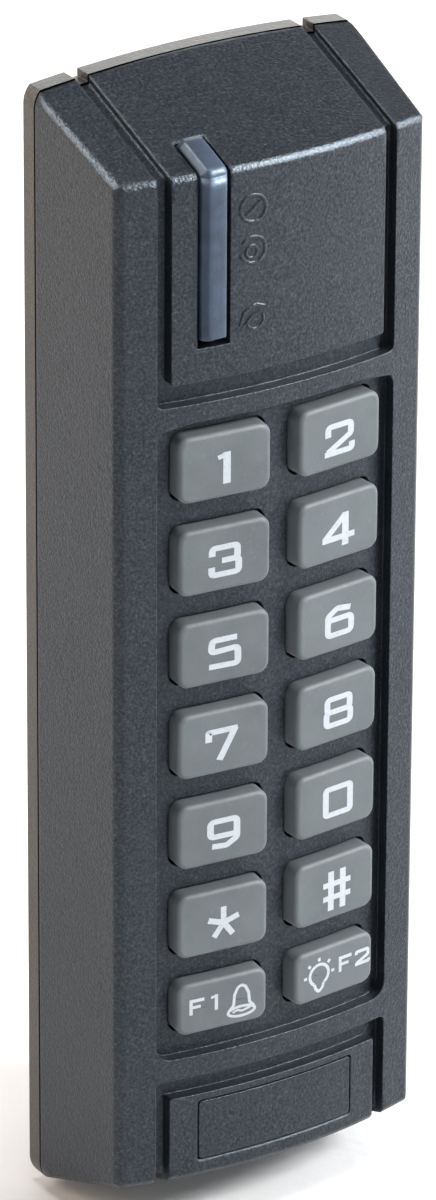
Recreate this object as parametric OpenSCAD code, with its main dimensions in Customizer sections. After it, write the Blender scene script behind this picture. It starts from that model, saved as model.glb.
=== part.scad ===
// Wall-mounted proximity card reader with a two-column keypad.
// Frame: +Z up, the front faces -Y, the wall face lies at Y = 0,
// origin in the middle of the base plate's wall face.

/* [Housing] */
// Width of the housing at the wall
body_w = 46; // [44:0.5:56]
// Height of the housing at the wall, on the centreline
body_h = 152.5; // [148:0.5:184]
// Depth of the housing from the wall to the front's crown
body_d = 23; // [21.5:0.5:28]
// How far each long side leans in between the wall and the front
side_lean = 0.8; // [0.6:0.1:1.6]
// Radius of the crowned front face
crown_r = 86; // [70:1:140]
// Corner radius of the outline at the wall, before the bowed ends trim it
plate_corner = 3.6; // [2.5:0.1:4]
// Depth of the chamfer along the four slanted corners
corner_soft = 0.4; // [0.2:0.05:0.6]
// Chamfer that softens the long front edges
edge_soft = 0.8; // [0.4:0.1:1]
// Chamfer that softens the ridges between front and sloping ends
ridge_soft = 0.28; // [0.15:0.01:0.35]
// How far the top and bottom edges bow outward
end_bow = 1.35; // [0.8:0.05:1.8]
// Rise of the sloping ends for each millimetre of depth
end_slope = 0.375; // [0.3:0.005:0.42]
// Wall thickness of the front cover's long sides
wall_t = 2; // [1.6:0.1:2.4]
// Wall thickness of the front cover's sloping ends
end_t = 2.4; // [2.2:0.1:2.8]

/* [Front relief] */
// Width of the raised band along each long edge
band_w = 5; // [4:0.1:5.6]
// Depth of the channels and the keypad recess
relief_d = 1.7; // [1.4:0.1:2.2]
// Depth of the channels where they run out over the sloping ends
end_relief_d = 1; // [0.8:0.1:1.3]
// Thickness of the front wall behind the relief
front_t = 1.8; // [1.4:0.1:2.2]
// Width of the channels beside the reader panel and the lower flap
channel_w = 1.85; // [1.4:0.05:2.2]
// Height of the upper crossbar
bar_h = 3.25; // [2.4:0.05:4]
// Height of the channel between the upper crossbar and the reader panel
panel_gap = 2.9; // [2:0.1:3.6]
// Bow of the keypad recess's upper edge
recess_bow = 1.7; // [0.5:0.1:2]
// Height of the lower crossbar
low_bar_h = 2.9; // [2.2:0.1:3.4]
// Height of the channel above the lower flap
flap_gap = 2.7; // [2:0.1:3.2]

/* [Keys] */
// Width of a key
key_w = 12.6; // [10:0.1:12.8]
// Height of a key
key_h = 8.8; // [7:0.1:9.2]
// Height of a key in the lowest row
low_key_h = 7.2; // [6:0.1:8]
// Corner radius of a key
key_corner = 1.5; // [1:0.1:2.6]
// How far the key faces stand proud of the front face
key_proud = 0.4; // [0.2:0.1:1]
// Distance of a key's centre from the centreline
column_x = 8.35; // [8:0.05:8.6]
// Distance between two rows
row_pitch = 12.52; // [12.2:0.02:12.6]
// Height of the first row's centre above the origin
first_row_z = 30.05; // [29:0.05:30.4]
// Travel of a key
key_travel = 1; // [0.6:0.1:1.2]
// Gap between a key and its aperture
key_gap = 0.3; // [0.25:0.05:0.45]

/* [Light guide] */
// Width of the light guide's bar
guide_w = 3.6; // [2.6:0.1:4.4]
// Distance of the light guide from the centreline
guide_x = 9.85; // [9:0.05:10]
// Height of the bar's lower end above the origin
guide_low_z = 47; // [46:0.1:48]
// How far the bar stands proud of the panel
guide_proud = 0.9; // [0.4:0.1:1.2]
// Depth over which the bar runs back along the sloping top
guide_run = 5.6; // [4:0.1:7]

/* [Badge] */
// Width of the blank name badge
badge_w = 22.7; // [16:0.1:26]
// Height of the blank name badge
badge_h = 8.2; // [6:0.1:8.6]
// Thickness of the badge
badge_t = 0.8; // [0.5:0.1:1]
// Corner radius of the badge
badge_corner = 0.4; // [0.3:0.1:1.5]

/* [Mounting] */
// Thickness of the base plate
plate_t = 2.6; // [2.2:0.1:3]
// Distance between the two wall screws
screw_spacing = 110; // [90:1:114]
// Radius of the wall screw holes
screw_hole_r = 2.1; // [1.6:0.1:2.4]
// Radius of the cable port in the base plate
port_r = 5; // [4:0.1:6]
// Radius of the bore in the cable grommet
grommet_bore_r = 3; // [2:0.1:3.5]
// Height of the cable port's centre
port_z = -16; // [-20:0.5:-14]

/* [Electronics] */
// Thickness of the circuit board
board_t = 1.6; // [1:0.1:2]
// Gap between the circuit board and the cover's long walls
board_side_gap = 0.93; // [0.9:0.01:2]
// Gap between the circuit board and the cover's sloping ends
board_end_gap = 4.54; // [4.4:0.01:6]
// Depth from the wall to the board's front side
board_front = 15; // [14.6:0.1:15.4]
// Thickness of the rear cover
rear_t = 1.6; // [1.2:0.1:2]
// Depth of the wiring space between the base plate and the rear cover
wiring_d = 5; // [4.6:0.1:5.2]

/* [Hidden] */
$fn = 64;
curve_fn = 180;
fit_gap = 0.25;
thread_gap = 0.05;
slide_gap = 0.3;
far = 60;
past = 1;

columns = 2;
row_count = 7;
last_row = row_count - 1;
KEY_NAMES = ["1", "2", "3", "4", "5", "6", "7", "8", "9", "0", "star", "hash", "f1", "f2"];
KEY_NODES = [for (k = KEY_NAMES) str("key_", k)];
PILL_NODES = [for (k = KEY_NAMES) str("carbon_pill_", k)];

// Housing surfaces
front_w = body_w - 2 * side_lean;
crown_y = crown_r - body_d;
plate_bow_r = (pow(body_w / 2, 2) + pow(end_bow, 2)) / (2 * end_bow);
slope_tilt = atan(end_slope);
slope_step = 1 / cos(slope_tilt);
front_edge_y = crown_y - sqrt(pow(crown_r, 2) - pow(front_w / 2, 2));
side_draft = side_lean / (-front_edge_y - plate_t);
ridge_tilt = (90 + slope_tilt) / 2;
ridge_drop = crown_drop(front_w / 2, crown_r) * (sin(ridge_tilt) - end_slope * cos(ridge_tilt))
             + crown_drop(front_w / 2, plate_bow_r) * slope_step * cos(ridge_tilt);
ridge_bow_r = (pow(front_w / 2, 2) + pow(ridge_drop, 2)) / (2 * ridge_drop);
floor_d = relief_d + front_t;
recess_w = front_w - 2 * band_w;

// Heights of the front's features, measured on the centreline
row_margin = 1;
low_row_margin = 3.35;
badge_margin = 1.15;
low_row_z = first_row_z - last_row * row_pitch + (key_h - low_key_h) / 2;
recess_top = first_row_z + key_h / 2 + row_margin;
recess_bottom = low_row_z - low_key_h / 2 - low_row_margin;
recess_bow_r = (pow(recess_w / 2, 2) + pow(recess_bow, 2)) / (2 * recess_bow);
panel_floor_z = recess_top + bar_h;
panel_z = panel_floor_z + panel_gap;
flap_floor_z = recess_bottom - low_bar_h;
flap_z = flap_floor_z - flap_gap;
badge_z = flap_z - badge_margin - badge_h / 2;

// Corner radii of the recess, the channels and the raised panels
recess_corner = 2.2;
channel_corner = 0.9;
panel_corner = 0.3;

// Circuit board and its screws
board_back = board_front - board_t;
board_w = 2 * (inner_half(board_front) - board_side_gap);
board_h = 2 * (end_z(board_front) - end_t * slope_step - board_end_gap);
boss_r = 2.3;
board_screw_x = board_w / 2 - 3.3;
mid_screw_z = recess_top + boss_r + 1.15;
board_screw_z = [board_h / 2 - 4, mid_screw_z, 4 - board_h / 2];

// Light guide
guide_led_z = [for (rise = [1.8, 7.6, 13.2]) guide_low_z + rise];
guide_gap = 0.4;
guide_end_gap = 1.1;
guide_chamfer = 0.57;
guide_flange = 1;
guide_leg = 2.4;
led_w = 2.5;
led_t = 1.3;
guide_face = body_d - crown_drop(guide_x, crown_r);
guide_inner = guide_face - floor_d;

// Key stack, as depths below the crowned face along each key's own axis
flange_over = 0.8;
flange_half = key_w / 2 + flange_over;
flange_front = crown_r - sqrt(pow(crown_r - floor_d, 2) - pow(flange_half, 2)) + thread_gap;
flange_t = 1.05;
pill_r = 2.5;
pill_t = 0.4;
pill_gap = 0.15;
leg_r = 3;
mat_front = floor_d + 0.1;
mat_t = 1.2;
mat_over = 2.85;
column_turn = asin(column_x / crown_r);
crown_at_column = body_d - crown_drop(column_x, crown_r);
pill_face = (crown_at_column - board_front) / cos(column_turn) - key_travel
            - leg_r * tan(column_turn) - pill_gap;

// Rear cover, its seal and the base plate's lip
rear_back = plate_t + wiring_d;
rear_front = rear_back + rear_t;
rear_boss_r = 2;
rear_screw_x = 12;
rear_screw_z = board_h / 2 + 2.5;
seal_w = 0.65;
lip_h = 1.5;
lip_t = 1.2;
lip_in = end_t + end_slope * lip_h + fit_gap;
lip_clear = 1.5;
screw_boss_w = 2.4;
screw_boss_h = 0.6;
pocket_d = 0.8;
pocket_corner = 3;
pocket_end = 16.25;

// Fasteners: head radius, head height, shank radius, length
BOARD_SCREW = [2, 1.2, 1, 5];
REAR_SCREW = [1.9, 1, 1, 6];
LOCK_SCREW = [2.1, 1.3, 1.2, 8.5];

// Locking tab at the bottom and hooks at the top of the base plate
lock_depth = plate_t + 2.4;
tab_w = 8;
tab_h = 7;
tab_z = body_h / 2 - 5.75;
tab_front = rear_back - slide_gap;
hook_x = 12;
hook_w = 6;
hook_arm = 3.6;
hook_nose = 1.4;

// Terminal block
terminal_w = 22;
terminal_h = 7.4;
terminal_z = -35;
terminal_count = 6;
terminal_back = plate_t + 1.6;
terminal_r = 1.45;

// Tamper switch
tamper_x = 12;
tamper_z = 24;
tamper_w = 6;
tamper_r = 1.2;
tamper_back = board_back - 3;

// Chips on the board's rear: position in X and Z, width, height, thickness, legs on a side
MICROCONTROLLER = [0, 6, 10, 10, 1.4, 10];
READER_CHIP = [4, 50, 7, 9, 1.3, 8];
LINE_DRIVER = [-12, -20, 3.9, 5, 1.4, 4];
REGULATOR = [12.5, -22, 3.5, 6.5, 1.6, 3];
// Other parts there: position in X and Z, radius or width, height off the board
CAPACITOR = [12.5, -50, 3.1, 3.7];
BUZZER = [-10, -52, 6, 3.7];
CRYSTAL = [-12, 8, 4.4, 3.2];

// How far a round surface falls away at a distance from its middle
function crown_drop(x, r) = r - sqrt(r * r - x * x);
// Height of the sloping end at a depth, on the centreline
function end_z(depth) = body_h / 2 - end_slope * (depth - plate_t);
// Half the width inside the long walls at a depth
function inner_half(depth) = body_w / 2 - wall_t - side_draft * (depth - plate_t);
// Depth inside the front wall at a distance from the middle
function inner_depth(x) = body_d - floor_d - crown_drop(x, crown_r - floor_d);
function key_z(row) = row < last_row ? first_row_z - row * row_pitch : low_row_z;
function key_height(row) = row < last_row ? key_h : low_key_h;
function side(column) = column == 0 ? -1 : 1;
// Height of the light guide's upper side at a depth, with a rise off the sloping top
function guide_top(depth, rise) =
    end_z(depth) + (rise - crown_drop(guide_x, plate_bow_r)) * slope_step;
// Height of the seat under the locking screw's head
function lock_seat_z() = end_z(lock_depth) - end_t * slope_step;

// Rectangle with round corners, centred
module rounded_rect(w, h, r) {
    square([w - 2 * r, h], center = true);
    square([w, h - 2 * r], center = true);
    for (x = [-1, 1], z = [-1, 1])
        translate([x * (w / 2 - r), z * (h / 2 - r)]) circle(r);
}

// A front view outline in X and Z, made solid between two depths from the wall
module slab(near, deep) {
    translate([0, -near, 0]) rotate([90, 0, 0]) linear_extrude(deep - near) children();
}

// The housing's outline at the wall, drawn in by an inset
module outline(inset = 0) {
    intersection() {
        rounded_rect(body_w - 2 * inset, body_h - 2 * inset, max(plate_corner - inset, 0.6));
        translate([0, body_h / 2 - plate_bow_r]) circle(plate_bow_r - inset, $fn = curve_fn);
        translate([0, plate_bow_r - body_h / 2]) circle(plate_bow_r - inset, $fn = curve_fn);
    }
}

// Everything behind the crowned face when that is lowered by a depth
module behind_crown(depth) {
    translate([0, crown_y, -body_h])
        cylinder(r = crown_r - depth, h = 2 * body_h, $fn = curve_fn);
}

// Everything below both sloping ends when those are lowered by a depth
module between_ends(depth) {
    intersection() {
        sloped_cylinder(depth);
        mirror([0, 0, 1]) sloped_cylinder(depth);
    }
}

module sloped_cylinder(depth) {
    translate([0, -plate_t, body_h / 2]) rotate([slope_tilt, 0, 0])
        translate([0, 0, -plate_bow_r]) rotate([90, 0, 0])
            translate([0, 0, -body_h]) cylinder(r = plate_bow_r - depth, h = 3 * body_h, $fn = curve_fn);
}

// Solid housing between the seam and the front, with its walls drawn in
module housing_block(side_in, crown_in, end_in) {
    front = body_d + past;
    intersection() {
        translate([0, 0, -body_h]) linear_extrude(2 * body_h) polygon([
            [-(body_w / 2 - side_in), -plate_t],
            [body_w / 2 - side_in, -plate_t],
            [body_w / 2 - side_in - side_draft * (front - plate_t), -front],
            [-(body_w / 2 - side_in - side_draft * (front - plate_t)), -front]]);
        behind_crown(crown_in);
        between_ends(end_in);
    }
}

// Everything inside the chamfers along the long front edges and the two ridges
module softened_edges() {
    near = -front_edge_y - edge_soft;
    x_side = body_w / 2 - side_draft * (near - plate_t);
    x_front = front_w / 2 - edge_soft;
    deep = body_d - crown_drop(x_front, crown_r);
    x_past = x_side - (x_side - x_front) * (body_d + past - near) / (deep - near);
    intersection() {
        translate([0, 0, -body_h]) linear_extrude(2 * body_h) polygon([
            [-body_w / 2 - past, past], [body_w / 2 + past, past], [x_side, -near],
            [x_past, -body_d - past], [-x_past, -body_d - past], [-x_side, -near]]);
        ridge_cylinder();
        mirror([0, 0, 1]) ridge_cylinder();
    }
}

// Cuts the slanted corners where the long sides meet the sloping ends
module corner_cuts() {
    for (x = [0, 1], z = [0, 1]) mirror([x, 0, 0]) mirror([0, 0, z])
        translate([body_w / 2, -plate_t, body_h / 2 - end_bow])
            rotate([slope_tilt, 0, 0]) rotate([0, 0, -atan(side_draft)]) rotate([0, 45, 0])
                translate([-far, -far, -corner_soft]) cube([2 * far, 2 * far, far]);
}

module ridge_cylinder() {
    translate([0, -body_d, end_z(body_d)]) rotate([ridge_tilt, 0, 0])
        translate([0, 0, -ridge_bow_r - ridge_soft]) rotate([90, 0, 0])
            translate([0, 0, -2 * body_h]) cylinder(r = ridge_bow_r, h = 4 * body_h, $fn = curve_fn);
}

// Puts a shape drawn on the crown's middle line at a key's column and height
module on_crown(turn, z) {
    translate([0, crown_y, z]) rotate([0, 0, turn]) translate([0, -crown_r, 0]) children();
}

module at_keys() {
    for (row = [0 : row_count - 1], column = [0 : columns - 1])
        on_crown(side(column) * column_turn, key_z(row)) {
            $row = row;
            children();
        }
}

// A key-shaped prism between two depths below the crowned face
module key_prism(row, grow, near, deep) {
    mirror([0, 1, 0]) slab(near, deep)
        rounded_rect(key_w + 2 * grow, key_height(row) + 2 * grow, key_corner + grow / 2);
}

// Pan-head screw with its head's underside at the origin, its shank along -Z
module pan_screw(size) {
    difference() {
        union() {
            cylinder(r = size[0], h = size[1]);
            translate([0, 0, -size[3]]) cylinder(r = size[2], h = size[3] + 0.01);
        }
        for (a = [0, 90]) rotate([0, 0, a])
            translate([-size[0] * 0.6, -0.25, size[1] * 0.45]) cube([size[0] * 1.2, 0.5, size[1]]);
    }
}

module base_plate() {
    color([0.17, 0.18, 0.2]) difference() {
        union() {
            slab(0, plate_t) outline();
            // locating lip inside the cover's walls
            slab(plate_t / 2, plate_t + lip_h) difference() {
                outline(lip_in);
                outline(lip_in + lip_t);
                translate([0, -body_h / 2]) square([tab_w + 2 * lip_clear, 4 * lip_in], center = true);
                for (x = [-hook_x, hook_x]) translate([x, body_h / 2])
                    square([hook_w + 2 * lip_clear, 4 * lip_in], center = true);
            }
            // bosses round the wall screw holes
            for (z = [-1, 1]) translate([0, 0, z * screw_spacing / 2]) rotate([90, 0, 0])
                cylinder(r = screw_hole_r + screw_boss_w, h = plate_t + screw_boss_h);
            lock_tab();
            for (x = [-hook_x, hook_x]) translate([x, 0, 0]) hook(0);
        }
        for (z = [-1, 1]) translate([0, past, z * screw_spacing / 2]) rotate([90, 0, 0])
            cylinder(r = screw_hole_r, h = far);
        translate([0, past, port_z]) rotate([90, 0, 0]) cylinder(r = port_r, h = far);
        translate([0, -lock_depth, -tab_z - past])
            cylinder(r = LOCK_SCREW[2] + thread_gap, h = tab_h + 2 * past);
        wall_pockets();
        // notches where the cover's channels run out
        difference() {
            for (x = [-1, 1]) translate([x * (recess_w - channel_w) / 2, 0, 0])
                slab(-past, far) square([channel_w, 2 * body_h], center = true);
            slab(-past, far) outline(end_relief_d);
        }
    }
}

// Four shallow pockets in the wall face, clear of the screws on the centreline
module wall_pockets() {
    pocket_in = screw_hole_r + screw_boss_w + 0.5;
    pocket_out = body_w / 2 - 4;
    pocket_low = -port_z;
    pocket_high = body_h / 2 - pocket_end;
    for (z = [-1, 1], x = [-1, 1])
        translate([x * (pocket_in + pocket_out) / 2, 0, z * (pocket_low + pocket_high) / 2])
            slab(-past, pocket_d)
                rounded_rect(pocket_out - pocket_in, pocket_high - pocket_low, pocket_corner);
}

// Tab that takes the locking screw
module lock_tab() {
    translate([-tab_w / 2, -tab_front, -tab_z]) cube([tab_w, tab_front - plate_t / 2, tab_h]);
}

// Hook that holds the cover's upper end, or its pocket when grown by a gap
module hook(grow) {
    arm_t = 1.8;
    reach = 0.7;
    nose_z = end_z(plate_t + hook_arm - hook_nose / 2) - end_t * slope_step
             - crown_drop(hook_x + hook_w / 2, plate_bow_r);
    translate([-hook_w / 2, -plate_t - hook_arm, nose_z - arm_t - fit_gap - 0.35])
        cube([hook_w, hook_arm + plate_t / 2, arm_t]);
    translate([-hook_w / 2 - grow, -plate_t - hook_arm - grow, nose_z - arm_t - fit_gap - 0.35])
        cube([hook_w + 2 * grow, hook_nose + 2 * grow, arm_t + fit_gap + 0.35 + reach + grow]);
}

module cable_grommet() {
    color([0.08, 0.08, 0.08]) translate([0, 0, port_z]) rotate([90, 0, 0]) difference() {
        union() {
            cylinder(r = port_r - thread_gap, h = plate_t + past / 2);
            translate([0, 0, plate_t]) cylinder(r = port_r + 2, h = 1.2);
        }
        translate([0, 0, -past]) cylinder(r = grommet_bore_r, h = far);
    }
}

// Outline of everything on the front that lies below the raised level
module relief_outline() {
    corner_lift = recess_bow / 2;
    // keypad recess with a bowed upper edge
    intersection() {
        translate([0, (recess_top + corner_lift + recess_bottom) / 2])
            rounded_rect(recess_w, recess_top + corner_lift - recess_bottom, recess_corner);
        translate([0, recess_top + recess_bow - recess_bow_r])
            circle(recess_bow_r, $fn = curve_fn);
    }
    // channels round the reader panel
    channel_outline(panel_floor_z + body_h / 2, panel_z + body_h / 2);
    // channels round the lower flap
    channel_outline(flap_floor_z - body_h / 2, flap_z - body_h / 2);
}

// Channels between the bands and a raised panel, drawn from the two middle heights
module channel_outline(floor_mid, panel_mid) {
    difference() {
        translate([0, floor_mid]) rounded_rect(recess_w, body_h, channel_corner);
        translate([0, panel_mid]) rounded_rect(recess_w - 2 * channel_w, body_h, panel_corner);
    }
}

module front_cover() {
    color([0.2, 0.21, 0.24]) difference() {
        intersection() {
            housing_block(0, 0, 0);
            slab(0, far) outline();
            softened_edges();
        }
        corner_cuts();
        slab(plate_t - past, plate_t + thread_gap) outline(end_t);
        // hollow inside
        difference() {
            housing_block(wall_t, floor_d, end_t);
            cover_bosses();
        }
        // relief of the front
        difference() {
            slab(0, far) relief_outline();
            intersection() {
                behind_crown(relief_d);
                between_ends(end_relief_d);
            }
        }
        at_keys() key_prism($row, key_gap, -far / 2, flange_front + past);
        guide_slot();
        badge_shape(fit_gap, badge_t + thread_gap);
        cover_screw_holes();
        for (x = [-hook_x, hook_x]) translate([x, 0, 0]) hook(fit_gap);
    }
}

// Pillars and bosses inside the cover
module cover_bosses() {
    for (x = [-1, 1], z = board_screw_z) translate([x * board_screw_x, -board_front, z])
        rotate([90, 0, 0]) cylinder(r = boss_r, h = body_d - board_front);
    for (x = [-1, 1], z = [-1, 1]) translate([x * rear_screw_x, -rear_front, z * rear_screw_z])
        rotate([90, 0, 0]) cylinder(r = rear_boss_r, h = body_d - rear_front);
    translate([-tab_w / 2, -rear_back, -body_h / 2])
        cube([tab_w, wiring_d + past, body_h / 2 - tab_z - fit_gap]);
}

module cover_screw_holes() {
    for (x = [-1, 1], z = board_screw_z) translate([x * board_screw_x, past - board_front, z])
        rotate([90, 0, 0])
            cylinder(r = BOARD_SCREW[2] + thread_gap, h = BOARD_SCREW[3] - board_t + past + slide_gap);
    for (x = [-1, 1], z = [-1, 1]) translate([x * rear_screw_x, past - rear_front, z * rear_screw_z])
        rotate([90, 0, 0])
            cylinder(r = REAR_SCREW[2] + thread_gap, h = REAR_SCREW[3] - rear_t + past + slide_gap);
    translate([0, -lock_depth, -body_h]) {
        cylinder(r = LOCK_SCREW[2] + slide_gap, h = body_h - tab_z + past);
        cylinder(r = LOCK_SCREW[0] + fit_gap, h = body_h - lock_seat_z());
    }
}

// Opening for the light guide: through the front wall, and deeper over the sloping top
module guide_slot() {
    half = guide_w / 2 + guide_gap;
    translate([-guide_x - half, -far, guide_low_z - guide_end_gap])
        cube([2 * half, far - guide_inner + past, body_h]);
    translate([-guide_x - half, -far, guide_top(guide_inner, -end_t - past)])
        cube([2 * half, far - (guide_face - guide_run) + guide_gap, body_h]);
}

module light_guide() {
    face = guide_face + guide_proud;
    end = guide_face - guide_run;
    // front of the flange behind the front wall
    flange_d = inner_depth(guide_x + guide_w / 2 + guide_flange) - thread_gap;
    flange_t = 0.9;
    shoulder = end_t + slide_gap;
    color([0.72, 0.78, 0.88, 0.8]) translate([-guide_x, 0, 0]) {
        difference() {
            rotate([90, 0, -90]) translate([0, 0, -guide_w / 2]) linear_extrude(guide_w) polygon([
                [face, guide_low_z],
                [face, guide_top(face, guide_proud)],
                [end, guide_top(end, guide_proud)],
                [end, guide_top(end, -end_t)],
                [guide_inner, guide_top(guide_inner, -shoulder)],
                [flange_d - flange_t / 2, guide_top(guide_inner, -shoulder)],
                [flange_d - flange_t / 2, guide_low_z]]);
            // chamfers along the bar's front
            for (s = [-1, 1]) linear_extrude(body_h) polygon([
                [s * guide_w / 2, -guide_face],
                [s * (guide_w / 2 - guide_chamfer), -face],
                [s * (guide_w / 2 - guide_chamfer), -face - past],
                [s * (guide_w / 2 + past), -face - past],
                [s * (guide_w / 2 + past), -guide_face]]);
        }
        translate([-guide_w / 2 - guide_flange, -flange_d, guide_low_z - guide_end_gap - guide_flange])
            cube([guide_w + 2 * guide_flange, flange_t,
                  guide_led_z[2] + guide_leg - guide_low_z + guide_end_gap]);
        for (z = guide_led_z) translate([-guide_leg / 2, -flange_d, z - guide_leg / 2])
            cube([guide_leg, flange_d - board_front - led_t - guide_gap, guide_leg]);
    }
}

module badge_shape(grow, depth) {
    difference() {
        translate([0, 0, badge_z]) slab(board_front, far)
            rounded_rect(badge_w + 2 * grow, badge_h + 2 * grow, badge_corner + grow / 2);
        behind_crown(depth);
    }
}

module name_badge() {
    color([0.2, 0.21, 0.24]) intersection() {
        badge_shape(0, badge_t);
        behind_crown(0);
    }
}

module key_body(row, column) {
    color([0.42, 0.45, 0.45]) on_crown(side(column) * column_turn, key_z(row)) {
        key_prism(row, 0, -key_proud, flange_front + flange_t / 2);
        key_prism(row, flange_over, flange_front, flange_front + flange_t);
        translate([0, flange_front, 0]) rotate([-90, 0, 0])
            cylinder(r = leg_r, h = pill_face - pill_t - flange_front);
    }
}

module carbon_pill(row, column) {
    color([0.06, 0.06, 0.06]) on_crown(side(column) * column_turn, key_z(row))
        translate([0, pill_face - pill_t, 0]) rotate([-90, 0, 0]) cylinder(r = pill_r, h = pill_t);
}

module keypad_mat() {
    mat_w = 2 * (column_x + key_w / 2 + mat_over);
    mat_top = recess_top - key_gap;
    mat_bottom = recess_bottom + low_row_margin / 2;
    color([0.4, 0.43, 0.43]) difference() {
        intersection() {
            behind_crown(mat_front);
            translate([-mat_w / 2, -body_d, mat_bottom])
                cube([mat_w, body_d - plate_t, mat_top - mat_bottom]);
        }
        behind_crown(mat_front + mat_t);
        at_keys() key_prism($row, flange_over + slide_gap, mat_front - past, mat_front + mat_t + far / 20);
    }
}

module main_board() {
    color([0.05, 0.25, 0.12]) difference() {
        slab(board_back, board_front) rounded_rect(board_w, board_h, 1.5);
        for (x = [-1, 1], z = board_screw_z) translate([x * board_screw_x, 0, z])
            rotate([90, 0, 0]) cylinder(r = BOARD_SCREW[2] + 0.2, h = far);
    }
}

// Flat coil round the board's upper end, between the middle and the upper screws
module antenna_coil() {
    band = 1.6;
    corner = 3;
    coil_w = 2 * (board_screw_x - boss_r - slide_gap);
    coil_top = board_h / 2 - slide_gap;
    coil_low = mid_screw_z + boss_r + 2.8;
    color([0.72, 0.42, 0.2]) translate([0, 0, (coil_top + coil_low) / 2])
        slab(board_front, board_front + 0.9) difference() {
            rounded_rect(coil_w, coil_top - coil_low, corner);
            rounded_rect(coil_w - 2 * band, coil_top - coil_low - 2 * band, corner - band);
        }
}

module status_leds() {
    color([0.9, 0.92, 0.85]) for (z = guide_led_z)
        translate([-guide_x - led_w / 2, -board_front - led_t, z - led_w / 2]) cube([led_w, led_t, led_w]);
}

module backlight_leds() {
    size = 0.8;
    color([0.92, 0.92, 0.8]) for (row = [0 : last_row - 1])
        translate([-size, -board_front - size, (key_z(row) + key_z(row + 1) - size) / 2])
            cube([2 * size, size, size]);
}

// Chip with a row of legs on each long side
module chip(c) {
    stand_off = 0.15;
    foot = 0.8;
    leg_w = 0.4;
    pitch = c[3] / (c[5] + 1);
    translate([c[0] - c[2] / 2, stand_off - board_back, c[1] - c[3] / 2]) cube([c[2], c[4], c[3]]);
    for (s = [-1, 1], i = [1 : c[5]])
        translate([c[0] + s * (c[2] / 2 + foot * 0.45) - foot / 2, -board_back,
                   c[1] - c[3] / 2 + i * pitch - leg_w / 2])
            cube([foot, c[4] / 2, leg_w]);
}

module microcontroller() {
    color([0.1, 0.1, 0.11]) chip(MICROCONTROLLER);
}

module reader_chip() {
    color([0.1, 0.1, 0.11]) chip(READER_CHIP);
}

module line_driver() {
    color([0.1, 0.1, 0.11]) chip(LINE_DRIVER);
}

module crystal() {
    can_h = 11;
    color([0.75, 0.76, 0.78]) translate([CRYSTAL[0], 0, CRYSTAL[1]])
        slab(board_back - CRYSTAL[3], board_back) rounded_rect(CRYSTAL[2], can_h, CRYSTAL[2] * 0.48);
}

module voltage_regulator() {
    color([0.1, 0.1, 0.11]) chip(REGULATOR);
}

module smoothing_capacitor() {
    base_w = 6.6;
    base_h = 0.5;
    color([0.7, 0.72, 0.74]) translate([CAPACITOR[0], -board_back, CAPACITOR[1]])
        rotate([-90, 0, 0]) {
            cylinder(r = CAPACITOR[2], h = CAPACITOR[3]);
            translate([-base_w / 2, -base_w / 2, 0]) cube([base_w, base_w, base_h]);
        }
}

// Rows of small chip parts
module small_parts() {
    low_z = 22;
    pitch = 3.2;
    size = [1.25, 0.6, 2];
    color([0.55, 0.45, 0.3]) for (i = [0 : 4], x = [-14.5, -5.5, 5.5])
        translate([x - size[0] / 2, -board_back, low_z + i * pitch]) cube(size);
}

module buzzer() {
    sound_hole_r = 0.9;
    color([0.07, 0.07, 0.07]) translate([BUZZER[0], -board_back, BUZZER[1]]) rotate([-90, 0, 0])
        difference() {
            cylinder(r = BUZZER[2], h = BUZZER[3]);
            translate([0, 0, past]) cylinder(r = sound_hole_r, h = BUZZER[3]);
        }
}

module at_terminals() {
    pitch = terminal_w / terminal_count;
    for (i = [0 : terminal_count - 1])
        translate([-terminal_w / 2 + (i + 0.5) * pitch, -terminal_back, terminal_z]) children();
}

module terminal_block() {
    screw_hole_d = 4;
    wire_w = 2.4;
    color([0.1, 0.35, 0.2]) difference() {
        translate([0, 0, terminal_z]) slab(terminal_back, board_back)
            square([terminal_w, terminal_h], center = true);
        at_terminals() translate([0, past, 0]) rotate([90, 0, 0])
            cylinder(r = terminal_r, h = screw_hole_d + past);
        // wire openings, which end under the screws
        at_terminals() translate([-wire_w / 2, -screw_hole_d + past, -terminal_h])
            cube([wire_w, wire_w * 0.8, terminal_h - terminal_r]);
    }
}

module terminal_screws() {
    screw_t = 1.6;
    sink = 0.6;
    slot_w = 0.4;
    color([0.75, 0.76, 0.78]) at_terminals() translate([0, -sink, 0]) rotate([90, 0, 0])
        difference() {
            cylinder(r = terminal_r - thread_gap, h = screw_t);
            translate([-terminal_r, -slot_w / 2, -screw_t / 2])
                cube([2 * terminal_r, slot_w, screw_t * 0.8]);
        }
}

module tamper_switch() {
    bore_d = 1;
    color([0.1, 0.1, 0.1]) difference() {
        translate([tamper_x, 0, tamper_z]) slab(tamper_back, board_back)
            square([tamper_w, tamper_w], center = true);
        translate([tamper_x, past - tamper_back, tamper_z]) rotate([90, 0, 0])
            cylinder(r = tamper_r + 0.15, h = bore_d + past);
    }
}

// Plunger that stands on the base plate, with a collar inside the rear cover
module tamper_plunger() {
    collar_t = 0.6;
    color([0.85, 0.85, 0.82]) translate([tamper_x, 0, tamper_z]) rotate([90, 0, 0]) {
        translate([0, 0, plate_t + 0.1]) cylinder(r = tamper_r, h = tamper_back - plate_t - 0.6);
        translate([0, 0, rear_front + 0.15]) cylinder(r = tamper_r + 1, h = collar_t);
    }
}

// Plate that follows the cover's inner walls at an inset
module rear_plate(near, deep, inset) {
    intersection() {
        slab(near, deep) square([2 * (inner_half(rear_front) - inset), body_h], center = true);
        between_ends(end_t + inset);
    }
}

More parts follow.
